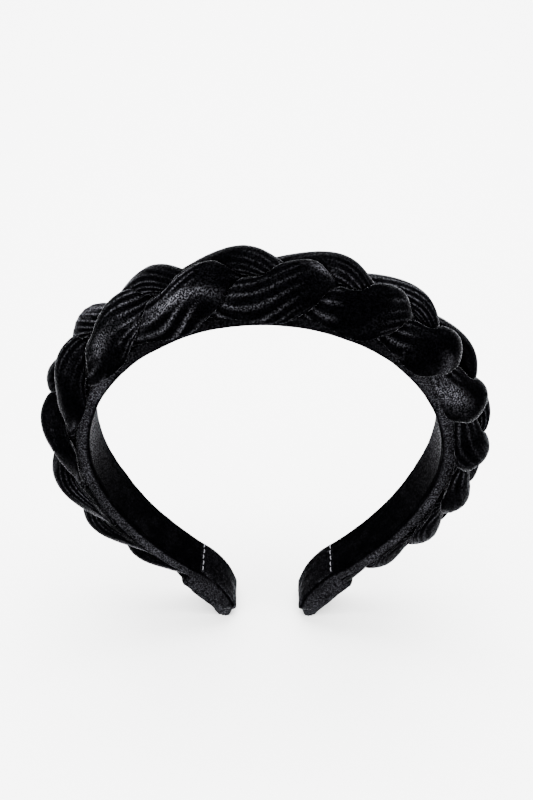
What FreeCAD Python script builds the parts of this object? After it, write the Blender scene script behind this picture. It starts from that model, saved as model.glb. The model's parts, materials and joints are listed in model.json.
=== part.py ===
import FreeCAD, Part
import math
import os

# Padded Alice band: a sprung plastic hoop, padded and covered in velvet, with a plait of three
# stuffed velvet tubes laid over it and a sewn velvet cap on each end.
# Millimetres. +X is the wearer's side, -Y the front edge, +Z the crown. Z = 0 is what the tips stand on.
# A place on the band is (s, y, h): s along the inner face from the crown, y across, h outwards.

# ---- driving dimensions -------------------------------------------------------------------
crown_radius = 62.0     # inner face over the head
crown_arc = 108.0       # degrees of that radius, each side of the crown
leg_radius = 113.0      # inner face of the leg below it
leg_length = 61.0
flare_radius = 40.0     # the tip curls the other way, off the skin
flare_length = 25.0

width_crown = 28.0      # front to back
width_seam = 15.2       # at the end cap's seam and from there on
width_power = 1.33      # how late the taper comes

lining_thick = 0.7
core_thick = 1.4
foam_thick = 1.5
cover_thick = 0.7
ply_gap = 0.1           # glue line between two layers
core_inset = 2.2        # hoop edge to band edge

strand_count = 3
plait_reach = 9.4       # sideways swing of a tube's centre line
plait_lift = 3.3        # how far a tube rises and dips at a crossing
plait_level = 11.0      # height of the plait's mid level at the crown
tube_half_width = 8.6
tube_flatness = 2.25    # half width over half height
dome_radius = 13.5      # the plait droops over the band's edges by this radius, at the crown
dome_radius_side = 18.0
dome_span = 60.0        # distance over which one becomes the other
lobe_right = 26.0       # length of the first lobe to the right of the crown
lobe_left = 27.5        # and to the left
lobe_shrink = 0.82      # each lobe is twice this shorter than the last
lobe_shift = 7.0        # the lobes are counted from a place this far right of the crown
narrow_from = 118.0     # the plait narrows from here
narrow_to = 181.0
narrow_width = 0.36     # what is left of its width in the cap
flat_from = 128.0
flat_to = 190.0
narrow_height = 0.30    # what is left of its height in the cap
strand_end = 187.0
velvet_thick = 0.8      # wall of a tube, pile included
squeeze = 5.0           # how squarely a tube fills its room
fill_end = 150.0        # the stuffing stops here and the empty tubes go on as flat tails
least_reach = 0.3       # no outline comes nearer to its centre than this
tube_gap = 1.05         # half the clearance between tubes, where they are round
least_gap = 0.3         # what is left of it where they are flattest
rest_gap = 0.3          # plait to band

hinge_relief = 12.5     # degrees each half leans back above the flexing line
hinge_gap = 0.2         # each half stops this far from the flexing line
relief_span = 30.0      # the lean fades out over this length
row_step = 2.4          # along a tube, between the outlines that shape it
ring_points = 24        # round a tube, in each outline

cap_wall = 0.65
cap_gap = 0.12
cap_overlap = 0.6       # the cap's mouth comes this far up from the seam line
cap_tip_high = 6.0      # room inside the cap at the tip
cap_ease = 1.5          # room over the tails at its mouth
cap_slant = 4.5         # the outer side of a cap runs this much further than the inner side
room_slant = 3.6        # the same for the room inside it
binding_wall = 0.25
binding_length = 3.0
stitch_count = 5
stitch_pitch = 2.9
stitch_length = 1.9
stitch_thread = 0.32
stitch_inset = 0.4      # from the seam line, towards the tip
stitch_clear = 0.04     # off the cap's velvet

over_reach = 1.0        # a cutting solid runs this far past what it cuts
beyond = 200.0          # further than any part of the band reaches
taper_steps = 12
taper_depth = 1.3       # of the seam's drop, how far down the taper is drawn

# ---- what follows from them ---------------------------------------------------------------
arc_end = crown_radius * math.radians(crown_arc)
seam_at = arc_end + leg_length
tip_at = seam_at + flare_length
core_low = lining_thick + ply_gap
core_high = core_low + core_thick
foam_low = core_high + ply_gap
foam_high = foam_low + foam_thick
cover_low = foam_high + ply_gap
base_high = cover_low + cover_thick
flex_height = (core_low + core_high) / 2.0
relief = math.radians(hinge_relief)


def smooth(t):
    # 0 to 1 with a level start and end
    t = min(max(t, 0.0), 1.0)
    return t * t * (3.0 - 2.0 * t)


def heading(s):
    # downward turn of the band at s, in radians, for s >= 0
    turn = min(s, arc_end) / crown_radius
    turn += min(max(s - arc_end, 0.0), leg_length) / leg_radius
    return turn - max(s - seam_at, 0.0) / flare_radius


def inner_point(s):
    # point of the inner face at s >= 0, as (x, z) from the crown
    a = min(s, arc_end) / crown_radius
    x = crown_radius * math.sin(a)
    z = crown_radius * (math.cos(a) - 1.0)
    b = a + min(max(s - arc_end, 0.0), leg_length) / leg_radius
    x += leg_radius * (math.sin(b) - math.sin(a))
    z += leg_radius * (math.cos(b) - math.cos(a))
    c = b - max(s - seam_at, 0.0) / flare_radius
    x -= flare_radius * (math.sin(c) - math.sin(b))
    z -= flare_radius * (math.cos(c) - math.cos(b))
    return x, z


seam_drop = -inner_point(seam_at)[1]


def place(s, y, h):
    # band place to a point; s < 0 is the left side
    side = -1.0 if s < 0 else 1.0
    x, z = inner_point(abs(s))
    turn = heading(abs(s))
    return FreeCAD.Vector(side * (x + h * math.sin(turn)), y, z + h * math.cos(turn))


def width_at_drop(drop):
    # band width at a drop below the crown
    share = min(max(drop, 0.0) / seam_drop, 1.0)
    return width_crown - (width_crown - width_seam) * share ** width_power


# ---- flat layers of the band: arcs in side view, cut to the taper -----------------------------
def rising_arc(s_from, s_to, h_from, h_to):
    # arc between two places on the same stretch of the band
    middle = place((s_from + s_to) / 2.0, 0.0, (h_from + h_to) / 2.0)
    return Part.Arc(place(s_from, 0.0, h_from), middle, place(s_to, 0.0, h_to)).toShape()


def layer_profile(h_low, h_high, s_from, s_to, slant, h_tip):
    # closed side-view outline of a layer: its top runs evenly from h_high to h_tip, and slant
    # lengthens its outer side at the tip
    stops = [s for s in (arc_end, seam_at) if s_from < s < s_to]
    low = [s_from] + stops + [s_to]
    high = [s_from] + stops + [s_to + slant]
    tops = [h_high + (h_tip - h_high) * (s - s_from) / (s_to + slant - s_from) for s in high]
    edges = [rising_arc(a, b, h_low, h_low) for a, b in zip(low, low[1:])]
    edges.append(Part.makeLine(place(s_to, 0.0, h_low), place(s_to + slant, 0.0, h_tip)))
    for i in reversed(range(len(high) - 1)):
        edges.append(rising_arc(high[i + 1], high[i], tops[i + 1], tops[i]))
    edges.append(Part.makeLine(place(s_from, 0.0, h_high), place(s_from, 0.0, h_low)))
    return Part.Wire(edges)


def taper_prism(inset):
    # everything within the band's front and back edges, moved in by inset
    drops = [seam_drop * taper_depth * i / taper_steps for i in range(taper_steps + 1)]
    edges = []
    corners = []
    for side in (1.0, -1.0):
        half = [side * (width_at_drop(d) / 2.0 - inset) for d in drops]
        points = [FreeCAD.Vector(-beyond / 2.0, y, -d) for y, d in zip(half, drops)]
        curve = Part.BSplineCurve()
        curve.interpolate(points)
        roof = FreeCAD.Vector(points[0].x, points[0].y, beyond)
        edges += [Part.makeLine(roof, points[0]), curve.toShape()]
        corners.append((roof, points[-1]))
    edges += [Part.makeLine(right, left) for right, left in zip(*corners)]
    wire = Part.Wire(Part.__sortEdges__(edges))
    return Part.Face(wire).extrude(FreeCAD.Vector(beyond, 0.0, 0.0))


def layer(h_low, h_high, s_from, s_to, inset, slant=0.0, h_tip=None):
    # one layer of the right half, of one thickness unless h_tip is given
    h_tip = h_high if h_tip is None else h_tip
    outline = Part.Face(layer_profile(h_low, h_high, s_from, s_to, slant, h_tip))
    outline.translate(FreeCAD.Vector(0.0, -width_crown, 0.0))
    slab = outline.extrude(FreeCAD.Vector(0.0, 2.0 * width_crown, 0.0))
    return slab.common(taper_prism(inset))


def lean_back(shape):
    # trim a right half at the flexing line, so that the halves can open there
    pivot = FreeCAD.Vector(hinge_gap, 0.0, flex_height)
    keep = Part.makeBox(beyond, beyond, beyond)
    keep.translate(FreeCAD.Vector(pivot.x, -beyond / 2.0, pivot.z))
    keep.rotate(pivot, FreeCAD.Vector(0.0, 1.0, 0.0), hinge_relief)
    below = Part.makeBox(beyond, beyond, beyond)
    below.translate(FreeCAD.Vector(pivot.x, -beyond / 2.0, pivot.z - beyond))
    return shape.common(keep.fuse(below))


def mirrored(shape):
    return shape.mirror(FreeCAD.Vector(0.0, 0.0, 0.0), FreeCAD.Vector(1.0, 0.0, 0.0))


def lining():
    # velvet strip against the head
    return lean_back(layer(0.0, lining_thick, 0.0, tip_at, 0.0))


def hoop_core():
    # the plastic spring
    return lean_back(layer(core_low, core_high, 0.0, tip_at - core_inset, core_inset))


def foam_pad():
    # thin foam on the hoop
    return lean_back(layer(foam_low, foam_high, 0.0, tip_at - core_inset, cover_thick + ply_gap))


def base_cover():
    # velvet over the foam, turned down over both edges to the lining
    whole = layer(core_low, base_high, 0.0, tip_at, 0.0)
    inside = layer(lining_thick - over_reach, cover_low, -over_reach, tip_at + over_reach, cover_thick)
    return lean_back(whole.cut(inside))


# ---- the plait ------------------------------------------------------------------------------
def lobes_from_crown(s):
    # how many lobes lie between the counting place and s
    run = abs(s - lobe_shift)
    first = lobe_left if s < lobe_shift else lobe_right
    under = first ** 2 - 4.0 * lobe_shrink * run
    return math.copysign((first - math.sqrt(under)) / (2.0 * lobe_shrink), s - lobe_shift)


def plait_scale(s):
    # what is left of the plait's width and of its height at s
    wide = 1.0 - (1.0 - narrow_width) * smooth((abs(s) - narrow_from) / (narrow_to - narrow_from))
    high = 1.0 - (1.0 - narrow_height) * smooth((abs(s) - flat_from) / (flat_to - flat_from))
    return wide, high


def droop(s, y):
    # how far the plait hangs at y
    wide, high = plait_scale(s)
    radius = dome_radius + (dome_radius_side - dome_radius) * smooth(abs(s) / dome_span)
    return high * (y / wide) ** 2 / (2.0 * radius)


def tube_centre(s, k):
    # centre of tube k before the droop: a flat figure of eight, a third of a turn between tubes
    wide, high = plait_scale(s)
    turn = 2.0 * math.pi * (lobes_from_crown(s) + k) / strand_count - math.pi / 4.0
    rest = base_high + rest_gap
    level = rest + (plait_level - rest) * high
    return plait_reach * wide * math.sin(turn), level - plait_lift * high * math.sin(2.0 * turn)


def tube_ring(s, k, shrink):
    # outline of tube k at s: an ellipse that its neighbours and the band below flatten
    wide, high = plait_scale(s)
    cy, ch = tube_centre(s, k)
    others = [tube_centre(s, j) for j in range(strand_count) if j != k]
    flat = tube_flatness * wide / high
    curve = droop(s, 1.0)
    ring = []
    for i in range(ring_points):
        angle = 2.0 * math.pi * i / ring_points
        dy = math.cos(angle)
        dh = math.sin(angle)
        room = (1.0 / (tube_half_width * wide)) ** squeeze
        for oy, oh in others:
            ty = oy - cy
            th = (oh - ch) * flat
            apart = math.hypot(ty, th)
            towards = (dy * ty + dh * th) / apart
            clear = tube_gap * max(high, least_gap) * math.hypot(ty, th * flat) / apart
            if towards > 0.0:
                room += (towards / (apart / 2.0 - clear)) ** squeeze
        rise = dh / flat
        a = curve * dy * dy
        b = 2.0 * curve * cy * dy - rise
        c = base_high + rest_gap + curve * cy * cy - ch
        b += math.sqrt(b * b - 4.0 * a * c)
        if b > 0.0:
            room += (b / (-2.0 * c)) ** squeeze
        reach = room ** (-1.0 / squeeze)
        reach = max(reach - shrink / math.hypot(dy, rise), least_reach)
        y = cy + reach * dy
        h = ch + reach * rise
        ring.append((y, h - curve * y * y))
    return ring


def crown_shift(h, back):
    # how far along the band the leaning end face stands at height h, plus back
    lean = relief - math.asin((crown_radius + flex_height) * math.sin(relief) / (crown_radius + h))
    return crown_radius * lean + hinge_gap + back


def tube_solid(k, side, shrink, trim, s_end):
    # tube k of one half as a closed spline surface with a flat face at each end
    rows = int(s_end / row_step)
    grid = []
    for j in range(rows):
        s = s_end * j / (rows - 1.0)
        fade = 1.0 - smooth(s / relief_span)
        row = []
        for y, h in tube_ring(side * s, k, shrink):
            row.append(place(side * (s + fade * crown_shift(h, trim)), y, h))
        grid.append(row)
    poles = [[row[i] for row in grid] for i in range(ring_points)]
    knots_round = [float(i) for i in range(ring_points + 1)]
    knots_along = [float(j) for j in range(rows - 2)]
    surface = Part.BSplineSurface()
    surface.buildFromPolesMultsKnots(
        poles, [1] * len(knots_round), [4] + [1] * (rows - 4) + [4],
        knots_round, knots_along, True, False, 3, 3)
    skin = surface.toShape()
    ends = [Part.Face(Part.Wire([e])) for e in skin.Edges if e.isClosed()]
    shell = Part.Shell([skin] + ends)
    shell.sewShape()
    body = Part.Solid(Part.Shell(shell.Faces))
    if body.Volume < 0.0:
        body.reverse()
    return body


def strand_fill(k, side):
    # the fibre stuffing of a tube
    wall = velvet_thick + ply_gap
    return tube_solid(k, side, wall, wall, fill_end - ply_gap)


def strand_cover(k, side):
    # the velvet tube round it
    whole = tube_solid(k, side, 0.0, 0.0, strand_end)
    return whole.cut(tube_solid(k, side, velvet_thick, velvet_thick, fill_end))


# ---- the ends -------------------------------------------------------------------------------
def tails_high(s):
    # top of the flattened tubes at s, the higher of the two halves
    places = [(side * s, k) for side in (-1.0, 1.0) for k in range(strand_count)]
    return max(h for at, k in places for _, h in tube_ring(at, k, 0.0))


def end_cap():
    # velvet sleeve over the band's end and the plait's tails, closed at the tip
    mouth = seam_at - cap_overlap
    skin = cap_gap + cap_wall
    room_end = tip_at + cap_gap
    high = tails_high(mouth) + cap_ease
    fall = (cap_tip_high - high) / (room_end + room_slant - mouth)
    outer = layer(-skin, high + cap_wall, mouth, tip_at + skin, -skin, cap_slant, cap_tip_high + cap_wall)
    room = layer(-cap_gap, high - fall * over_reach, mouth - over_reach, room_end, -cap_gap,
                 room_slant, cap_tip_high)
    return outer.cut(room)


def slice_of_band(h_low, h_high, s_from, s_to, half_width):
    # a layer no wider than twice half_width
    keep = Part.makeBox(2.0 * beyond, 2.0 * half_width, 2.0 * beyond)
    keep.translate(FreeCAD.Vector(-beyond, -half_width, -beyond))
    return layer(h_low, h_high, s_from, s_to, 0.0).common(keep)


def binding():
    # thread wound round the three tails
    start = strand_end - 2.0 * binding_length
    end = start + binding_length
    half = (plait_reach + tube_half_width) * narrow_width + rest_gap
    low = base_high + cap_gap / 2.0
    high = tails_high(start) + cap_gap / 2.0
    outer = slice_of_band(low, high + binding_wall, start, end, half + binding_wall)
    room = slice_of_band(low + binding_wall / 2.0, high, start - over_reach, end + over_reach, half)
    return outer.cut(room)


def cap_stitches():
    # a row of running stitches across the inner face, just inside the cap's edge
    at = seam_at + stitch_inset
    origin = FreeCAD.Vector(0.0, 0.0, 0.0)
    made = []
    for i in range(stitch_count):
        y = (i - (stitch_count - 1) / 2.0) * stitch_pitch
        one = Part.makeBox(stitch_thread, stitch_length, stitch_thread)
        one.translate(FreeCAD.Vector(-stitch_thread / 2.0, y - stitch_length / 2.0, -stitch_thread))
        one.rotate(origin, FreeCAD.Vector(0.0, 1.0, 0.0), math.degrees(heading(at)))
        one.translate(place(at, 0.0, -cap_gap - cap_wall - stitch_clear))
        made.append(one)
    return Part.makeCompound(made)


# ---- every piece, then the whole stood on its tips ----------------------------------------------
def build():
    pieces = {}
    paired = {
        "lining": lining,
        "hoop_core": hoop_core,
        "foam_pad": foam_pad,
        "base_cover": base_cover,
        "end_cap": end_cap,
        "braid_binding": binding,
        "cap_stitches": cap_stitches,
    }
    for name, make in paired.items():
        shape = make()
        pieces[name + "_right"] = shape
        pieces[name + "_left"] = mirrored(shape)
    for k in range(strand_count):
        for name, side in (("right", 1.0), ("left", -1.0)):
            pieces["strand_cover_%d_%s" % (k + 1, name)] = strand_cover(k, side)
            pieces["strand_fill_%d_%s" % (k + 1, name)] = strand_fill(k, side)
    return pieces


def lowest(pieces):
    return min(pieces[n].optimalBoundingBox().ZMin for n in ("end_cap_right", "end_cap_left"))


def main():
    os.makedirs("parts", exist_ok=True)
    pieces = build()
    stand = -lowest(pieces)
    for name, shape in sorted(pieces.items()):
        shape.translate(FreeCAD.Vector(0.0, 0.0, stand))
        shape.exportStep("parts/%s.step" % name)
        print("%-24s %9.1f mm3  solids %d  valid %s"
              % (name, shape.Volume, len(shape.Solids), shape.isValid()))
    print("crown inner face at z = %.3f, flexing line at z = %.3f" % (stand, stand + flex_height))
    print("circle centre at z = %.3f" % (stand - crown_radius))
    print("inside tips at x = %.2f" % inner_point(tip_at)[0])


main()
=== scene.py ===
import bpy
import json
import math
import numpy as np
from mathutils import Matrix, Vector


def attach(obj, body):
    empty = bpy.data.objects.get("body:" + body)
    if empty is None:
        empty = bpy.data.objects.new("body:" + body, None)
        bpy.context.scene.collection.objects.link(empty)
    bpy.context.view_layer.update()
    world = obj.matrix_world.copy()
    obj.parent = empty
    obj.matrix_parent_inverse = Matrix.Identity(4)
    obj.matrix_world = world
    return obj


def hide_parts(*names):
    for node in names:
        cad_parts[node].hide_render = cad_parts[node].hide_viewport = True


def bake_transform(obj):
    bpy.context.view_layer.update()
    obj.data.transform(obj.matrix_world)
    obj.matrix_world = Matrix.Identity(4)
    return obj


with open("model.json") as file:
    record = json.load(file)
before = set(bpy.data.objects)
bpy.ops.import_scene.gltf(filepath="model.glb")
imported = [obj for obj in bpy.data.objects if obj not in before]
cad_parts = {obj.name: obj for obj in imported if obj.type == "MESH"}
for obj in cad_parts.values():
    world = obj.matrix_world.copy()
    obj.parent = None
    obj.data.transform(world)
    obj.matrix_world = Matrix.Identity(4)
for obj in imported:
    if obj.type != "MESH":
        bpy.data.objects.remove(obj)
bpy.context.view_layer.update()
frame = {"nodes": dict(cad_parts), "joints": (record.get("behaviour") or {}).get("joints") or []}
mm = 0.001
flexLine = Vector(next(j for j in frame["joints"] if j["name"] == "crown_flex")["pos_m"])

# the band itself, in mm: s runs along the inner face from the crown, y to the back, h outwards
band = dict(
    crownRadius=62.0, crownArc=math.radians(108.0),  # inner face over the head
    legRadius=113.0, legLength=61.0,                 # the leg below it
    flareRadius=40.0, flareLength=26.0,              # the tip, curling the other way
    widthCrown=28.0, widthSeam=15.2, widthPower=1.33,
    baseHigh=5.0,                                    # lining, hoop, foam and cover together
    flexHeight=1.5,                                  # middle of the hoop
)
arcEnd = band["crownRadius"] * band["crownArc"]
seamAt = arcEnd + band["legLength"]
tipAt = seamAt + band["flareLength"]
crownHigh = flexLine.z / mm - band["flexHeight"]


def smooth(t):
    t = np.clip(t, 0.0, 1.0)  # 0 to 1, level at both ends
    return t * t * (3.0 - 2.0 * t)


def bump(x, middle, half):
    return smooth(1.0 - np.abs(x - middle) / half)  # a hill of height 1 at middle


def bandPoint(s):
    # inner face in side view: three arcs end to end, mirrored for s < 0; gives x, z and heading
    a = np.abs(s)
    one = np.minimum(a, arcEnd) / band["crownRadius"]
    two = one + np.clip(a - arcEnd, 0.0, band["legLength"]) / band["legRadius"]
    three = two - np.maximum(a - seamAt, 0.0) / band["flareRadius"]
    x = band["crownRadius"] * np.sin(one) + band["legRadius"] * (np.sin(two) - np.sin(one))
    z = band["crownRadius"] * (np.cos(one) - 1.0) + band["legRadius"] * (np.cos(two) - np.cos(one))
    x = x - band["flareRadius"] * (np.sin(three) - np.sin(two))
    z = z - band["flareRadius"] * (np.cos(three) - np.cos(two))
    side = np.where(s < 0, -1.0, 1.0)
    return side * x, z, side * three


seamDrop = -float(bandPoint(np.array(seamAt))[1])


def place(s, y, h):
    # band coordinates in mm to metres in the CAD frame: inner point plus h along the outward normal
    s, y, h = np.broadcast_arrays(s, y, h)
    x, z, turn = bandPoint(s)
    return np.stack([x + h * np.sin(turn), y, crownHigh + z + h * np.cos(turn)], -1) * mm


def bandWidth(s):
    # the crown's width less a power of the drop below the crown
    share = np.clip(-bandPoint(s)[1] / seamDrop, 0.0, 1.0)
    return band["widthCrown"] - (band["widthCrown"] - band["widthSeam"]) * share ** band["widthPower"]


def ripple(u, v, cells, seed, wrap=False):
    # smooth noise, -1 to 1, of u and v in 0 to 1: random heights on a lattice, eased between;
    # u wraps round if asked
    rng = np.random.default_rng(seed)
    nu, nv = cells
    grid = rng.uniform(-1.0, 1.0, (nu + 1, nv + 1))
    if wrap:
        grid[nu] = grid[0]
        u = u % 1.0
    justUnderOne = 0.999999  # keeps the last point in the last cell
    a, b = np.clip(u, 0.0, justUnderOne) * nu, np.clip(v, 0.0, justUnderOne) * nv
    i, j = a.astype(int), b.astype(int)
    p, q = smooth(a - i), smooth(b - j)
    low = grid[i, j] * (1 - p) + grid[i + 1, j] * p
    high = grid[i, j + 1] * (1 - p) + grid[i + 1, j + 1] * p
    return low * (1 - q) + high * q


def surface(name, points, wrap=True, ends=True):
    # a grid of points (rows along, columns round) as a mesh; wrap joins the columns, ends closes it
    rows, cols = points.shape[:2]
    verts = points.reshape(-1, 3)
    i, j = np.meshgrid(np.arange(rows - 1), np.arange(cols if wrap else cols - 1), indexing="ij")
    k = (j + 1) % cols
    quads = np.stack([i * cols + j, i * cols + k, (i + 1) * cols + k, (i + 1) * cols + j], -1)
    faces = quads.reshape(-1, 4).tolist()
    if ends:
        first = np.arange(cols)
        verts = np.vstack([verts, points[0].mean(0), points[-1].mean(0)])
        a, b = rows * cols, rows * cols + 1
        near = np.stack([np.full(cols, a), (first + 1) % cols, first], -1)
        last = (rows - 1) * cols
        far = np.stack([np.full(cols, b), last + first, last + (first + 1) % cols], -1)
        faces += near.tolist() + far.tolist()
    mesh = bpy.data.meshes.new(name)
    mesh.from_pydata(verts.tolist(), [], faces)
    mesh.update()
    # turn it the right way out: a closed skin has a positive volume
    tri = np.array([t.vertices for t in loopTriangles(mesh)])
    p = verts[tri]
    if np.einsum("ij,ij->i", p[:, 0], np.cross(p[:, 1], p[:, 2])).sum() < 0:
        mesh.flip_normals()
    mesh.polygons.foreach_set("use_smooth", np.ones(len(mesh.polygons), bool))
    piece = bpy.data.objects.new(name, mesh)
    bpy.context.scene.collection.objects.link(piece)
    return piece


def loopTriangles(mesh):
    mesh.calc_loop_triangles()
    return mesh.loop_triangles


def uvFrom(piece, u, v, crushedPileSheen=0.0):
    # a UV map in mm, and the painted sheen of crushed pile, one value for each grid vertex
    layer = piece.data.uv_layers.new(name="clothMm")
    where = np.empty(len(piece.data.loops), int)
    piece.data.loops.foreach_get("vertex_index", where)
    extra = len(piece.data.vertices) - u.size
    flat = np.stack([np.r_[u.ravel(), np.zeros(extra)], np.r_[v.ravel(), np.zeros(extra)]], -1)
    layer.data.foreach_set("uv", flat[where].ravel())
    lay = piece.data.attributes.new("crushedPileSheen", "FLOAT", "POINT")
    lay.data.foreach_set("value", np.r_[(crushedPileSheen + 0 * u).ravel(), np.zeros(extra)].astype(np.float32))


def linear(hexColour):
    # sRGB hex to linear
    c = [int(hexColour[i:i + 2], 16) / 255.0 for i in (1, 3, 5)]
    return [v / 12.92 if v <= 0.04045 else ((v + 0.055) / 1.055) ** 2.4 for v in c] + [1.0]


def addNode(mat, kind, settings=None, **links):
    # one node: settings are its own properties or its sockets' values; links are named for the
    # socket they go to, or i and its number
    node = mat.node_tree.nodes.new("ShaderNode" + kind)
    for key, value in (settings or {}).items():
        if isinstance(key, int) or key in node.inputs:
            node.inputs[key].default_value = value
        else:
            setattr(node, key, value)
    for key, source in links.items():
        byNumber = key[0] == "i" and key[1:].isdigit()
        socket = int(key[1:]) if byNumber else key.replace("_", " ")
        mat.node_tree.links.new(source, node.inputs[socket])
    return node


def ramp(mat, source, stops):
    # a colour ramp from (place, hex) pairs
    node = addNode(mat, "ValToRGB", None, Fac=source)
    while len(node.color_ramp.elements) < len(stops):
        node.color_ramp.elements.new(0.5)
    for element, (where, colour) in zip(node.color_ramp.elements, stops):
        element.position = where
        element.color = linear(colour)
    return node.outputs["Color"]


velvet = dict(
    deep="#000000",                                    # pile seen end on, which swallows light
    body="#030304",
    bodyFrom=0.42, bodyTo=0.75,
    sheen="#e6e7ee",                                   # pile seen from the side
    pileMm=0.55,                                       # a tuft, coarser than the real 0.15 mm to show
    tuftFrom=0.49, tuftTo=0.60, gapLight=0.03,         # gaps of the pile to tips of the tufts
    patchMm=13.0, patchLight=0.4,                      # a patch of crushed pile, its sheen painted into the base colour
    streakShare=0.14, streakMix=0.30,                  # the finer streaks in it
    hazeShare=0.45, hazeFrom=0.47, hazeTo=0.68,        # clouds of standing pile
    haze=0.013,                                        # and how light their tufts are: a faint painted sheen
    rimPower=5.2,                                      # how near the outline the sheen stays
    sheenRough=0.30, rough=0.85,
    tuftDeepMm=0.2, streakDeepMm=0.5,                  # relief
    seedStepX=90.0, seedStepY=70.0,                    # mm from one material's pattern to the next
)


def velvetMaterial(name, patchFrom, patchTo, crushedPileSheen, rim=1.0, seed=0.0, along=1.0):
    # polyester velvet: black and matt face on; a sheen lobe lights the pile where it is seen from the side,
    # and grey sheen is painted into the base colour where the pile is crushed, in grains
    w = velvet
    mat = bpy.data.materials.new(name)
    mat.use_nodes = True
    mat.node_tree.nodes.clear()
    coords = addNode(mat, "TexCoord").outputs["Object"]
    cloth = addNode(mat, "UVMap", {"uv_map": "clothMm"}).outputs["UV"]
    start = (seed * w["seedStepX"], seed * w["seedStepY"], 0)
    moved = addNode(mat, "Mapping", {"Location": start, "Scale": (1 / along, along, 1)},
                    Vector=cloth).outputs["Vector"]
    patches = addNode(mat, "TexNoise", {"Scale": 1.0 / w["patchMm"], "Detail": 4.0, "Roughness": 0.66,
                                        "Distortion": 0.7}, Vector=moved).outputs["Fac"]
    streaks = addNode(mat, "TexNoise", {"Scale": 1.0 / (w["patchMm"] * w["streakShare"]), "Detail": 2.0,
                                        "Roughness": 0.6}, Vector=moved).outputs["Fac"]
    tufts = addNode(mat, "TexNoise", {"Scale": 1.0 / (w["pileMm"] * mm), "Detail": 2.0,
                                      "Roughness": 0.75}, Vector=coords).outputs["Fac"]
    clouds = addNode(mat, "TexNoise", {"Scale": 1.0 / (w["patchMm"] * w["hazeShare"]), "Detail": 2.0},
                     Vector=moved).outputs["Fac"]
    grain = addNode(mat, "MapRange", {"From Min": w["tuftFrom"], "From Max": w["tuftTo"]},
                    Value=tufts).outputs["Result"]
    haze = addNode(mat, "MapRange", {"From Min": w["hazeFrom"], "From Max": w["hazeTo"],
                                     "To Max": w["haze"]}, Value=clouds).outputs["Result"]
    # random patches of painted sheen, which the streaks break up
    shade = addNode(mat, "Math", {"operation": "MULTIPLY_ADD", 1: w["streakMix"]},
                    i0=streaks, i2=patches).outputs["Value"]
    shift = w["streakMix"] / 2
    amount = addNode(mat, "MapRange", {"From Min": patchFrom + shift, "From Max": patchTo + shift,
                                       "To Max": w["patchLight"]}, Value=shade).outputs["Result"]
    # the lean of the pile: seen from the side it shows its length
    facing = addNode(mat, "LayerWeight", {"Blend": 0.5}).outputs["Facing"]
    edge = addNode(mat, "Math", {"operation": "POWER", 1: w["rimPower"]}, i0=facing).outputs["Value"]
    broken = addNode(mat, "Math", {"operation": "MULTIPLY_ADD", 1: 1 - w["gapLight"], 2: w["gapLight"]},
                     i0=grain).outputs["Value"]
    glow = addNode(mat, "Math", {"operation": "MULTIPLY"}, i0=edge, i1=broken).outputs["Value"]
    weight = addNode(mat, "Math", {"operation": "MULTIPLY", 1: rim}, i0=glow).outputs["Value"]
    # painted sheen, added up: the patches, the mesh's own painted sheen and the clouds
    vertexSheen = addNode(mat, "Attribute", {"attribute_name": "crushedPileSheen"}).outputs["Fac"]
    paintedSheen = addNode(mat, "Math", {"operation": "ADD"}, i0=amount, i1=vertexSheen).outputs["Value"]
    light = addNode(mat, "Math", {"operation": "ADD", "use_clamp": True}, i0=paintedSheen, i1=haze).outputs["Value"]
    sparkle = addNode(mat, "Math", {"operation": "MULTIPLY"}, i0=light, i1=broken).outputs["Value"]
    speckle = ramp(mat, tufts, [(w["bodyFrom"], w["deep"]), (w["bodyTo"], w["body"])])
    # the base colour: the black grain, mixed towards the grey of the painted sheen
    colour = addNode(mat, "Mix", {"data_type": "RGBA", 7: linear(crushedPileSheen)}, i0=sparkle, i6=speckle)
    fur = addNode(mat, "Bump", {"Strength": 0.5, "Distance": w["tuftDeepMm"] * mm}, Height=tufts)
    lay = addNode(mat, "Bump", {"Strength": 0.5, "Distance": w["streakDeepMm"] * mm},
                  Height=streaks, Normal=fur.outputs["Normal"])
    shader = addNode(mat, "BsdfPrincipled", {"Roughness": w["rough"], "Specular IOR Level": 0.0,
                                             "Sheen Roughness": w["sheenRough"],
                                             "Sheen Tint": linear(w["sheen"])},
                     Sheen_Weight=weight, Normal=lay.outputs["Normal"])
    mat.node_tree.links.new(colour.outputs[2], shader.inputs["Base Color"])
    addNode(mat, "OutputMaterial", None, Surface=shader.outputs["BSDF"])
    return mat


def plainMaterial(name, light, dark, grainMm, rough, deepMm, specular=0.4):
    # a moulded, foamed or spun surface: two tones of one colour with a grain of a real size
    mat = bpy.data.materials.new(name)
    mat.use_nodes = True
    mat.node_tree.nodes.clear()
    coords = addNode(mat, "TexCoord").outputs["Object"]
    grain = addNode(mat, "TexNoise", {"Scale": 1.0 / (grainMm * mm), "Detail": 3.0},
                    Vector=coords).outputs["Fac"]
    colour = ramp(mat, grain, [(0.32, dark), (0.68, light)])
    relief = addNode(mat, "Bump", {"Strength": 0.6, "Distance": deepMm * mm}, Height=grain)
    shader = addNode(mat, "BsdfPrincipled", {"Roughness": rough, "Specular IOR Level": specular},
                     Base_Color=colour, Normal=relief.outputs["Normal"])
    addNode(mat, "OutputMaterial", None, Surface=shader.outputs["BSDF"])
    return mat


# painted sheen patches from and to, the painted sheen's grey, rim, seed and how much longer than wide the
# pattern is
tubeVelvet = velvetMaterial("crushedVelvet", 0.64, 0.95, "#5c5c62", 0.75, 0.0, 1.7)
liningVelvet = velvetMaterial("liningSheenVelvet", 0.66, 1.02, "#58585e", 0.35, 0.31, 1.3)
capVelvet = velvetMaterial("capVelvet", 0.66, 1.02, "#58585e", 0.5, 0.77)
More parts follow.
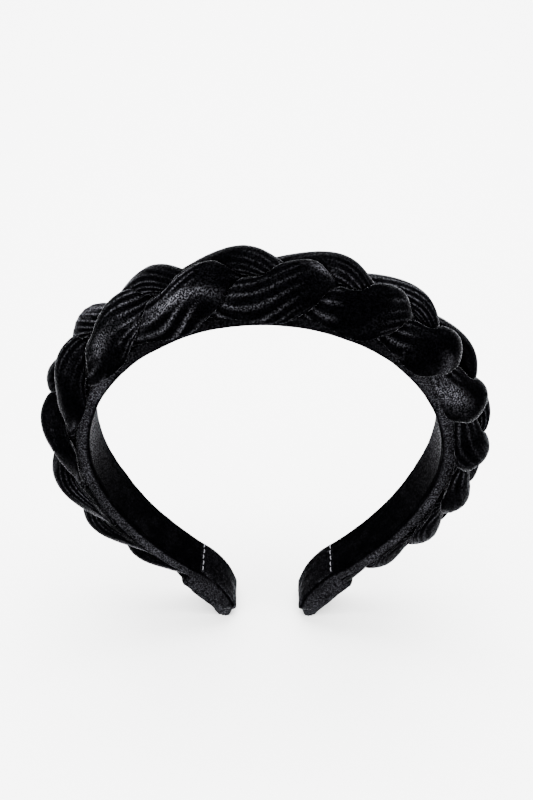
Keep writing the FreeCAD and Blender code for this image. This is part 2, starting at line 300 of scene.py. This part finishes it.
# light and dark tone, grain in mm, roughness, relief in mm and specular level
hoopPlastic = plainMaterial("mouldedPolypropylene", "#1c1c1e", "#161618", 1.2, 0.42, 0.03)
padFoam = plainMaterial("openCellFoam", "#dcdad2", "#c4c1b8", 0.5, 0.9, 0.2, 0.2)
stuffing = plainMaterial("polyesterFibre", "#f2f2f0", "#d8d8d6", 0.9, 0.85, 0.3, 0.2)
spunThread = plainMaterial("spunThread", "#6a6a70", "#3a3a3e", 0.18, 0.6, 0.05, 0.3)
print("materials made")


def finish(piece, material, nodes, body=None):
    # material, slot, the CAD nodes it stands for, and what it moves with
    piece.data.materials.append(material)
    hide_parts(*nodes)
    if body:
        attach(piece, body)
    else:
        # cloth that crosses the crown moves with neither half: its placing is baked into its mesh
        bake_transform(piece)


def bothSides(*names):
    return [name + "_" + side for name in names for side in ("left", "right")]


# degrees and mm; the aim point lies below the crown
camera = dict(tilt=43.31, yaw=-1.275, roll=-0.487, distance=490.3, lens=62.82, aimX=0.32, aimDrop=46.26,
              clip=10.0)


def setCamera():
    # the camera looks down at the aim point, turned by a small yaw and roll
    tilt, yaw, roll = (math.radians(camera[k]) for k in ("tilt", "yaw", "roll"))
    ahead = Vector((0, math.cos(tilt), -math.sin(tilt)))
    up = Vector((0, math.sin(tilt), math.cos(tilt)))
    right = Vector((1, 0, 0))
    aim = Vector((camera["aimX"], 0, -camera["aimDrop"]))
    turned = [right * math.cos(roll) + up * math.sin(roll),
              up * math.cos(roll) - right * math.sin(roll),
              -ahead]
    back = Matrix.Rotation(-yaw, 3, "Z")
    axes = back @ Matrix(turned).transposed()
    spot = back @ (aim - ahead * camera["distance"])
    data = bpy.data.cameras.new("camera")
    data.lens = camera["lens"]
    data.clip_start = camera["clip"] * mm
    eye = bpy.data.objects.new("camera", data)
    eye.matrix_world = Matrix.Translation((spot + Vector((0, 0, crownHigh))) * mm) @ axes.to_4x4()
    bpy.context.scene.collection.objects.link(eye)
    bpy.context.scene.camera = eye


def areaLight(name, size, power, spot, aim):
    # a rectangular soft box turned towards its aim
    data = bpy.data.lights.new(name, "AREA")
    data.shape = "RECTANGLE"
    data.size, data.size_y = size
    data.energy = power
    lamp = bpy.data.objects.new(name, data)
    lamp.location = spot
    lamp.rotation_euler = (Vector(aim) - Vector(spot)).to_track_quat("-Z", "Y").to_euler()
    bpy.context.scene.collection.objects.link(lamp)


studio = dict(
    world=3.3, floor="#ffffff", floorReach=3.0, floorRough=0.9,
    # name, size, power, place and aim of each soft box, in metres and watts
    lamps=[
        ("topLight", (0.7, 0.5), 26.0, (0.0, 0.1, 0.75), (0, 0, 0.1)),
        ("leftLight", (0.5, 0.7), 7.0, (-0.7, -0.35, 0.35), (0, 0, 0.08)),
        ("rightLight", (0.5, 0.7), 6.0, (0.7, -0.25, 0.3), (0, 0, 0.08)),
        ("backLight", (0.8, 0.4), 8.0, (0.0, 0.7, 0.35), (0, 0, 0.1)),
    ],
)


def setStudio():
    # an even white world, four soft boxes and a paper floor
    world = bpy.data.worlds.new("studio")
    bpy.context.scene.world = world
    world.use_nodes = True
    world.node_tree.nodes["Background"].inputs["Color"].default_value = (1, 1, 1, 1)
    world.node_tree.nodes["Background"].inputs["Strength"].default_value = studio["world"]
    for lamp in studio["lamps"]:
        areaLight(*lamp)
    mesh = bpy.data.meshes.new("floor")
    reach = studio["floorReach"]
    corners = [(-reach, -reach, 0), (reach, -reach, 0), (reach, reach, 0), (-reach, reach, 0)]
    mesh.from_pydata(corners, [], [(0, 1, 2, 3)])
    floor = bpy.data.objects.new("floor", mesh)
    mat = bpy.data.materials.new("paperSweep")
    mat.use_nodes = True
    shader = mat.node_tree.nodes["Principled BSDF"]
    shader.inputs["Base Color"].default_value = linear(studio["floor"])
    shader.inputs["Roughness"].default_value = studio["floorRough"]
    mesh.materials.append(mat)
    bpy.context.scene.collection.objects.link(floor)


setCamera()
setStudio()
print("camera and light set")

flat = dict(
    rows=420, cols=72, hiddenRows=160, hiddenCols=48,
    wave=0.16, waveCells=(9, 46), fineCells=(22, 150), fineShare=0.4,   # unevenness of the cloth
    waveSide=0.35, waveEdge=1.2,                                        # less at the sides and edges
    columnMm=0.6,
)
# mm above the inner face, how far each stops short of the band's edge and of the tip, edge radius
plies = dict(
    hoop=dict(low=0.8, high=2.2, inset=2.6, short=3.0, radius=0.6),
    foam=dict(low=2.3, high=3.8, inset=1.7, short=3.0, radius=0.7),
    cover=dict(low=-0.05, high=band["baseHigh"] - 0.3, inset=-0.6, short=0.9, radius=0.8),
    lining=dict(low=-0.2, high=0.7, inset=0.3, short=0.6, radius=0.5),
)
# painted sheen where the band's edges and the lining above the ears catch the light: how light, from where,
# over what length
bandSheen = dict(
    edge=0.04, edgeSides=0.30, edgeIn=1.6, edgeOver=1.4, edgeLow=0.4, edgeRise=1.2,
    sideFrom=35.0, sideOver=30.0, capFrom=150.0, capLess=0.5,
    inner=0.22, innerAt=88.0, innerHalf=34.0, innerHigh=0.6, innerFade=0.5,
    backFrom=-12.0, backOver=16.0,
    cloud=0.28, cloudCells=(44, 6), cloudLength=460.0, cloudWidth=40.0, cloudSeed=7,
)


def boxOutline(cols, corner=6, upright=5):
    # points round a box: what share of the flats (a, b) and of the corner radius (c, d) each takes
    flatCount = cols // 2 - 2 * corner - upright
    turn = (np.arange(corner) + 0.5) / corner * np.pi / 2
    run = np.linspace(1, -1, flatCount + 2)[1:-1]
    rise = np.linspace(-1, 1, upright + 2)[1:-1]
    one, rest = np.ones(corner), np.zeros(upright)
    a = np.concatenate([np.ones(upright), one, run, -one])
    b = np.concatenate([rise, one, np.ones(flatCount), one])
    c = np.concatenate([np.ones(upright), np.cos(turn), np.zeros(flatCount), -np.sin(turn)])
    d = np.concatenate([rest, np.sin(turn), np.ones(flatCount), np.cos(turn)])
    return np.r_[a, -a], np.r_[b, -b], np.r_[c, -c], np.r_[d, -d]


def roundedBox(width, low, high, radius, cols):
    # outline in (y, h) of a box with round corners, one for each row
    a, b, c, d = boxOutline(cols)
    width, low, high = (np.reshape(v, (-1, 1)) for v in (width, low, high))
    half, deep = width / 2.0, (high - low) / 2.0
    leaveFlat = 0.98
    r = np.minimum(radius, np.minimum(half, deep) * leaveFlat)
    return (half - r) * a + r * c, (low + high) / 2.0 + (deep - r) * b + r * d


def bandSheenAt(s, y, h):
    # painted sheen on its two edges over the sides, and on the lining above the ears, in uneven clouds
    r = bandSheen
    a = np.abs(s)
    edge = smooth((np.abs(y) - bandWidth(s) / 2 + r["edgeIn"]) / r["edgeOver"])
    edge = edge * smooth((h - r["edgeLow"]) / r["edgeRise"])
    nearCap = r["capLess"] * smooth((a - r["capFrom"]) / r["sideOver"])
    sides = r["edge"] + r["edgeSides"] * smooth((a - r["sideFrom"]) / r["sideOver"]) * (1 - nearCap)
    inner = r["inner"] * bump(a, r["innerAt"], r["innerHalf"])
    inner = inner * smooth((r["innerHigh"] - h) / r["innerFade"])
    inner = inner * smooth((y - r["backFrom"]) / r["backOver"])
    along, across = s / r["cloudLength"] + 0.5 + 0 * y, y / r["cloudWidth"] + 0.5
    cloud = 1 - r["cloud"] + r["cloud"] * ripple(along, across, r["cloudCells"], r["cloudSeed"])
    return np.clip((edge * sides + inner) * cloud, 0, 1)


def strip(name, ply, rows, cols, ruffle=0.0, seed=1):
    # a layer of the band: a rounded box carried along the band, with a slight wave in its skin
    low, high, end = ply["low"], ply["high"], tipAt - ply["short"]
    s = np.linspace(-end, end, rows)
    width = bandWidth(s) - 2.0 * ply["inset"]
    y, h = roundedBox(width, low, high, ply["radius"], cols)
    if ruffle:
        u = np.linspace(0, 1, cols, endpoint=False)[None, :] + 0 * y
        v = np.linspace(0, 1, rows)[:, None] + 0 * y
        fine = ripple(u, v, flat["fineCells"], seed + 1, True) * flat["fineShare"]
        wave = ruffle * (ripple(u, v, flat["waveCells"], seed, True) + fine)
        middle = (low + high) / 2.0
        out = np.hypot(y, h - middle)
        y = y + wave * flat["waveSide"] * y / out
        h = h + wave * np.sign(h - middle) * smooth(np.abs(h - middle) / flat["waveEdge"])
    piece = surface(name, place(s[:, None], y, h))
    columns = np.cumsum(np.full_like(y, flat["columnMm"]), 1)
    uvFrom(piece, s[:, None] + 0 * y, columns, bandSheenAt(s[:, None], y, h))
    return piece


hoop = strip("hoopCore", plies["hoop"], flat["hiddenRows"], flat["hiddenCols"])
finish(hoop, hoopPlastic, bothSides("hoop_core"))
foam = strip("foamPad", plies["foam"], flat["hiddenRows"], flat["hiddenCols"])
finish(foam, padFoam, bothSides("foam_pad"))
cover = strip("baseCover", plies["cover"], flat["rows"], flat["cols"], flat["wave"], 11)
finish(cover, liningVelvet, bothSides("base_cover"))
lining = strip("lining", plies["lining"], flat["rows"], flat["cols"], 0.8 * flat["wave"], 23)
finish(lining, liningVelvet, bothSides("lining"))
print("hoop, foam, cover and lining laid")

plait = dict(
    reach=9.4, lift=3.2, level=11.2,          # swing of a tube's centre, its rise and the mid level
    phase=-math.pi / 4,                       # of the first tube, where the lobes are counted from
    skew=0.12,                                # how much quicker it dives at the middle than at the edges
    halfWidth=9.4, flatness=2.15,             # a tube alone would be an ellipse this wide
    dome=13.5, domeSide=18.0, domeSpan=60.0,  # droop over the band's edges
    rearEase=0.36, rearFrom=-4.0, rearOver=8.0,  # how much less it droops at the back
    forward=2.2, forwardSpan=80.0,            # the plait sits this far to the front at the crown
    sag=1.3, sagFrom=12.0, sagOver=5.0,       # and hangs past the band's front edge
    lobeRight=26.0, lobeLeft=27.5,            # length of the first lobe on each side of lobeShift
    lobeShrink=0.82, lobeShift=7.0,           # half of what each lobe loses on the one before
    lobeSteady=72.0,                          # lobes further off than this stay the same length
    narrowFrom=112.0, narrowTo=186.0, narrowWidth=0.44,
    flatFrom=125.0, flatTo=182.0, narrowHeight=0.60,
    end=188.0, fillEnd=148.0,
    squeeze=10.0, gap=0.06, rest=0.12,        # squareness of the outline, room between tubes and to the band
    leastFloor=0.02, leastReach=0.3,
    velvetThick=1.5,                          # of the tube's wall, pleats included
    rows=480, cols=200, fillRows=220, fillCols=20, columnMm=0.2, fill=0.75,
)


def plaitScale(s):
    # what is left of the plait's width and height towards the caps
    a, p = np.abs(s), plait
    wide = 1 - (1 - p["narrowWidth"]) * smooth((a - p["narrowFrom"]) / (p["narrowTo"] - p["narrowFrom"]))
    high = 1 - (1 - p["narrowHeight"]) * smooth((a - p["flatFrom"]) / (p["flatTo"] - p["flatFrom"]))
    return wide, high


def lobesAt(s):
    # lobes between lobeShift and s: each is a little shorter than the one before, so their count
    # is the root of a quadratic, and from lobeSteady on it grows evenly
    p = plait
    run = np.abs(s - p["lobeShift"])
    first, less = np.where(s < p["lobeShift"], p["lobeLeft"], p["lobeRight"]), p["lobeShrink"]
    pitch = np.sqrt(first ** 2 - 4 * less * np.minimum(run, p["lobeSteady"]))
    count = (first - pitch) / (2 * less) + np.maximum(run - p["lobeSteady"], 0) / pitch
    return np.sign(s - p["lobeShift"]) * count


def tubeCentre(s, k):
    # a flat figure of eight, the three tubes a third of a turn apart
    wide, high = plaitScale(s)
    turn = 2 * np.pi * (lobesAt(s) + k) / 3 + plait["phase"]
    level = band["baseHigh"] + (plait["level"] - band["baseHigh"]) * high
    dive = (np.sin(2 * turn) + plait["skew"] * np.sin(4 * turn)) / (1 + 0.6 * plait["skew"])
    return plait["reach"] * wide * np.sin(turn), level - plait["lift"] * high * dive, turn


def laid(s, y, h, curve):
    # the plait bent down over the band: parabola, a sag beyond the edges and a shift to the front
    wide, high = plaitScale(s)
    reach = np.abs(y) - plait["sagFrom"] * wide
    h = h - curve * y * y - plait["sag"] * high * smooth(reach / plait["sagOver"]) * (y < 0)
    return y - plait["forward"] * (1 - smooth(np.abs(s) / plait["forwardSpan"])), h


def tubeSection(s, k, cols):
    # polar outline round the tube's centre: the soft minimum of its own ellipse, the mid planes
    # to the other two tubes and the band underneath, then drooped over the band's edges
    s = s[:, None]
    wide, high = plaitScale(s)
    angle = np.linspace(0, 2 * np.pi, cols, endpoint=False)[None, :]
    c, n = np.cos(angle), np.sin(angle)
    cy, ch, turn = tubeCentre(s, k)
    p = plait
    flatness = p["flatness"] * wide / high
    room = (1 / (p["halfWidth"] * wide)) ** p["squeeze"] + 0 * c
    for j in range(3):
        if j != k:
            oy, oh, _ = tubeCentre(s, j)
            ty, th = oy - cy, (oh - ch) * flatness
            apart = np.hypot(ty, th)
            towards = np.maximum((c * ty + n * th) / apart, 0)
            clear = p["gap"] * high * np.hypot(ty, th * flatness) / apart
            room = room + (towards / (apart / 2 - clear)) ** p["squeeze"]
    radius = p["dome"] + (p["domeSide"] - p["dome"]) * smooth(np.abs(s) / p["domeSpan"])
    rear = smooth((cy - p["rearFrom"]) / p["rearOver"])
    curve = high / wide ** 2 / (2 * radius) * (1 - p["rearEase"] * rear)
    # how far down the band is along each ray: the root of a quadratic, since the droop is a parabola
    rise = n / flatness
    a, b = curve * c * c, 2 * curve * cy * c - rise
    floor = np.minimum(band["baseHigh"] + p["rest"] * high + curve * cy * cy - ch, -p["leastFloor"])
    b = b + np.sqrt(np.maximum(b * b - 4 * a * floor, 0))
    room = room + (np.maximum(b, 0) / (-2 * floor)) ** p["squeeze"]
    reach = room ** (-1 / p["squeeze"])
    return cy, ch, reach, c, rise, curve, turn


pleats = dict(
    count=18, deep=0.45, sharp=3.2, level=0.5,        # round a tube, mm, and how thin the ridges are
    wander=1.4, wanderCells=(3, 22), wanderSeed=40,   # in pleats
    usual=0.16, uneven=0.9, unevenCells=(3, 30), unevenSeed=80, unevenShare=0.6,
    front=0.45, frontAt=0.57, frontHalf=0.2,          # stronger on the front, as a share round the tube
    pinch=0.6, pinchHalf=0.9,                         # least strength where a tube dives
    light=0.40, lightSharp=4,                         # painted highlight on the ridge crests: how light and how thin
    fine=0.08, fineCells=(40, 260), fineSeed=60,
    pile=0.04, pileCells=(50, 190), pileSeed=99, pileRound=5, pileAlong=9,
)
# places of crushed pile with painted sheen: along the band, across it, half length, half width, how bright
sheenSpots = [
    (-25, -11.5, 13, 1.7, 1.0), (-50, -12, 6, 2.4, 0.8), (-12, 9, 6, 3.0, 0.5), (68, -14, 8, 2.6, 1.0),
    (59, -12, 4, 2.0, 0.5), (15, -3, 3.5, 1.8, 0.9), (-50, 3, 8, 2, 0.5), (-112, -5, 10, 2.4, 0.6),
    (-130, -1, 8, 2.4, 0.6), (118, -3, 10, 2.4, 0.5), (32, 9, 8, 2, 0.35),
]
# how bright the painted sheen of those places is, and the clouds that break it up
spotSheen = dict(light=0.62, cloud=0.25, cells=(30, 160), seed=5)


def tubePoints(k):
    # the outline along the whole tube, with lengthwise pleats, pinches at the crossings and pile
    p, w = plait, pleats
    s = np.linspace(-p["end"], p["end"], p["rows"])
    cy, ch, reach, c, rise, curve, turn = tubeSection(s, k, p["cols"])
    wide, high = plaitScale(s[:, None])
    u = np.linspace(0, 1, p["cols"], endpoint=False)[None, :] + 0 * reach
    v = np.linspace(0, 1, p["rows"])[:, None] + 0 * reach
    # a pleat is a thin ridge between wide valleys: a power of a cosine's size, wandering round the tube
    wander = w["wander"] * ripple(u, v, w["wanderCells"], w["wanderSeed"] + k, True)
    ridges = np.abs(np.cos(np.pi * (w["count"] * u + wander))) ** w["sharp"]
    # some lobes are smooth and some are deeply pleated, most on the front; all gather where they dive
    strength = w["uneven"] * ripple(u * w["unevenShare"], v, w["unevenCells"], w["unevenSeed"] + k)
    strength = w["usual"] + strength + w["front"] * bump(u, w["frontAt"], w["frontHalf"])
    diving = bump(np.sin(2 * turn), 1.0, w["pinchHalf"])
    strength = np.maximum(np.clip(strength, 0, 1), w["pinch"] * diving)
    depth = w["deep"] * strength * (ridges - w["level"])
    depth = depth + w["fine"] * ripple(u, v, w["fineCells"], w["fineSeed"] + k, True)
    grain = ripple(u * w["pileRound"] % 1.0, v * w["pileAlong"] % 1.0, w["pileCells"], w["pileSeed"] + k)
    reach = np.maximum(reach + depth * high + w["pile"] * grain, p["leastReach"])
    y, h = laid(s[:, None], cy + reach * c, ch + reach * rise, curve)
    # painted sheen on the ridge crests and in listed places of crushed pile, each place a rounded hill of a
    # Gaussian's shape
    crushedPileSheen = w["light"] * strength * ridges ** w["lightSharp"]
    clouds = ripple(u, v, spotSheen["cells"], spotSheen["seed"], True) - 1
    clouds = 1 + spotSheen["cloud"] * clouds
    for at, across, halfLong, halfWide, much in sheenSpots:
        away = ((s[:, None] - at) / halfLong) ** 2 + ((y - across) / halfWide) ** 2
        crushedPileSheen = crushedPileSheen + spotSheen["light"] * much * np.exp(-2 * away) * clouds
    return s, y, h, np.clip(crushedPileSheen, 0, 1)


def fillPoints(k):
    # the stuffing: the same outline less the velvet, without its pleats
    p = plait
    s = np.linspace(-p["fillEnd"], p["fillEnd"], p["fillRows"])
    cy, ch, reach, c, rise, curve, _ = tubeSection(s, k, p["fillCols"])
    reach = np.maximum(reach - p["velvetThick"] / np.hypot(c, rise), p["leastReach"])
    return s, *laid(s[:, None], cy + reach * c, ch + reach * rise, curve)


for k in range(3):
    s, y, h, crushedPileSheen = tubePoints(k)
    tube = surface("strandCover%d" % (k + 1), place(s[:, None], y, h))
    uvFrom(tube, s[:, None] + 0 * y, np.cumsum(np.full_like(y, plait["columnMm"]), 1), crushedPileSheen)
    finish(tube, tubeVelvet, bothSides("strand_cover_%d" % (k + 1)))
    s, y, h = fillPoints(k)
    core = surface("strandFill%d" % (k + 1), place(s[:, None], y, h))
    finish(core, stuffing, bothSides("strand_fill_%d" % (k + 1)))
print("three tubes plaited")

cap = dict(
    mouth=seamAt - 0.5, end=tipAt + 0.6, slant=7.6,      # the outer side runs on by the slant
    low=-0.55, halfWidth=8.1, round=2.0,
    # height at these places along the band
    highAt=(177.0, 184.0, 190.0, 196.0, 200.0, 204.0, 210.0),
    high=(10.8, 11.2, 10.9, 9.9, 8.8, 7.4, 5.0), dome=1.6,
    slim=0.05, slimFrom=190.0, slimOver=14.0,
    lip=0.06, lipOver=0.03, lipLow=5.0, lipHigh=6.0,     # the mouth hugs the band
    shutFrom=0.93, shutOver=0.0702, shutPower=2.6, shutIn=0.3, shutRows=30,  # the end closes like this
    frontFrom=4.0, frontOver=3.5,
    notch=1.6, notchAt=1.4, notchHalf=1.6,               # in the front corner of the end
    tab=0.9, tabAt=-0.2, tabHalf=1.5,
    pleat=0.28, pleatPitch=1.15, pleatLean=3.0, pleatFrom=0.80, pleatOver=0.12,
    wave=0.28, waveCells=(11, 7), waveSeed=200, waveFrom=0.2,
    fine=0.07, fineCells=(37, 30), fineSeed=210,
    # painted sheen: along the edges, over the whole cap, at the closed end and on the gathered front
    sheenEdge=0.12, sheenEdgeIn=1.8, sheenEdgeOver=1.4,
    sheenAll=0.02, sheenEnd=0.10, sheenEndFrom=0.72, sheenEndOver=0.2,
    sheenFront=0.08, sheenFrontFrom=0.5, sheenFrontOver=0.3,
    leastOut=0.5, press=0.0002, columnMm=0.4, rows=130, cols=150,
)


def capRows():
    # rows from mouth to end, 0 to 1, closer together where the end rounds off
    first, last, p = 0.05, np.pi / 2, cap
    even = np.linspace(0, p["shutFrom"], p["rows"] - p["shutRows"])
    return np.r_[even, p["shutFrom"] + (1 - p["shutFrom"]) * np.sin(np.linspace(first, last, p["shutRows"]))]


def endCap(side, name):
    # a sleeve: a rounded box carried to the tip, its outer side longer, gathered at the front corner
    p = cap
    t = capRows()
    mid = p["mouth"] + (p["end"] + p["slant"] * 0.5 - p["mouth"]) * t
    high = np.interp(mid, p["highAt"], p["high"])
    lip = p["lip"] * (1 - smooth(t / p["lipOver"]))
    shut = (np.maximum(t - p["shutFrom"], 0) / p["shutOver"]) ** p["shutPower"]
    shut = np.sqrt(np.maximum(1 - shut, 0.0))
    inward = np.minimum(p["halfWidth"], high / 2) * (1 - shut) * p["shutIn"]
    slim = p["slim"] * smooth((mid - p["slimFrom"]) / p["slimOver"])
    half = p["halfWidth"] * (1 - slim) * (1 - lip) - inward
    low = p["low"] + lip * p["lipLow"] + inward
    y, h = roundedBox(2 * half, low, high - lip * p["lipHigh"] - inward, p["round"], p["cols"])
    up = np.clip((h - p["low"]) / (high[:, None] - p["low"]), 0, 1)
    v = t[:, None] + 0 * y
    u = np.linspace(0, 1, p["cols"], endpoint=False)[None, :] + 0 * y
    # the raw corner: a notch and a tab in the front end, and pleats that run into it
    front = smooth((-y - p["frontFrom"]) / p["frontOver"])
    longer = p["end"] + p["slant"] * up - p["mouth"]
    longer = longer - p["notch"] * front * bump(h, p["notchAt"], p["notchHalf"])
    longer = longer + p["tab"] * front * bump(h, p["tabAt"], p["tabHalf"])
    s = p["mouth"] + longer * v
    gather = np.sin(2 * np.pi * h / p["pleatPitch"] + p["pleatLean"] * v)
    gather = gather * p["pleat"] * front * smooth((v - p["pleatFrom"]) / p["pleatOver"])
    soft = ripple(u, v, p["waveCells"], p["waveSeed"] + int(side > 0), True) * p["wave"]
    soft = soft * smooth(v / p["waveFrom"]) + p["fine"] * ripple(u, v, p["fineCells"], p["fineSeed"], True)
    h = h + p["dome"] * up * (1 - (y / p["halfWidth"]) ** 2) * shut[:, None]
    middle = (p["low"] + high[:, None]) / 2
    out = np.maximum(np.hypot(y, h - middle), p["leastOut"])
    y = y + (soft * y / out - gather) * shut[:, None]
    h = h + soft * (h - middle) / out * shut[:, None]
    points = place(side * s, y, h)
    # cloth that would reach below the floor is pressed flat on it
    points[..., 2] = p["press"] * np.logaddexp(0.0, points[..., 2] / p["press"])
    piece = surface(name, points)
    # painted sheen along its edges, at its closed end and where it is gathered
    nearEdge = smooth((np.abs(y) - p["halfWidth"] + p["sheenEdgeIn"]) / p["sheenEdgeOver"])
    crushedPileSheen = p["sheenAll"] + p["sheenEdge"] * nearEdge
    crushedPileSheen = crushedPileSheen + p["sheenEnd"] * smooth((v - p["sheenEndFrom"]) / p["sheenEndOver"])
    crushedPileSheen = crushedPileSheen + p["sheenFront"] * front * smooth((v - p["sheenFrontFrom"]) / p["sheenFrontOver"])
    uvFrom(piece, side * s, np.cumsum(np.full_like(y, p["columnMm"]), 1), np.clip(crushedPileSheen, 0, 1))
    return piece


for side, word in ((-1.0, "left"), (1.0, "right")):
    sleeve = endCap(side, "endCap" + word.capitalize())
    finish(sleeve, capVelvet, ["end_cap_" + word], body=word + "_half")
print("caps sewn")

stitches = dict(
    count=5, pitch=2.9, length=2.1, thread=0.34, at=seamAt + 0.4, low=-0.95,
    dive=0.35,                      # how far the ends sink in
    blunt=6, least=0.02,            # a power that keeps the thread thick almost to its ends
    stray=0.12, strayTurn=2.4,      # how crooked the row is
    points=13, ringPoints=10,
)


def stitchRow(side, name):
    # short threads that dive into the velvet at both ends: a tube along half a sine wave, repeated
    p = stitches
    parts = []
    along = np.linspace(0, 1, p["points"])[:, None]
    ring = np.linspace(0, 2 * np.pi, p["ringPoints"], endpoint=False)[None, :]
    for i in range(p["count"]):
        middle = (i - (p["count"] - 1) / 2) * p["pitch"]
        thick = p["thread"] / 2 * np.sqrt(np.maximum(1 - (2 * along - 1) ** p["blunt"], p["least"]))
        y = middle + (along - 0.5) * p["length"] + 0 * ring
        h = p["low"] + p["dive"] * (1 - np.sin(np.pi * along)) + thick * np.sin(ring)
        s = side * (p["at"] + thick * np.cos(ring) + p["stray"] * np.sin(p["strayTurn"] * i))
        parts.append(surface(name + str(i), place(s, y, h)))
    with bpy.context.temp_override(active_object=parts[0], selected_editable_objects=parts):
        bpy.ops.object.join()
    parts[0].name = name
    return parts[0]


for side, word in ((-1.0, "left"), (1.0, "right")):
    row = stitchRow(side, "capStitches" + word.capitalize())
    finish(row, spunThread, ["cap_stitches_" + word], body=word + "_half")
# the thread round the tube tails is the CAD piece, in the thread's material
for node in bothSides("braid_binding"):
    wrap = frame["nodes"][node]
    wrap.data.materials.clear()
    wrap.data.materials.append(spunThread)
print("stitches set")
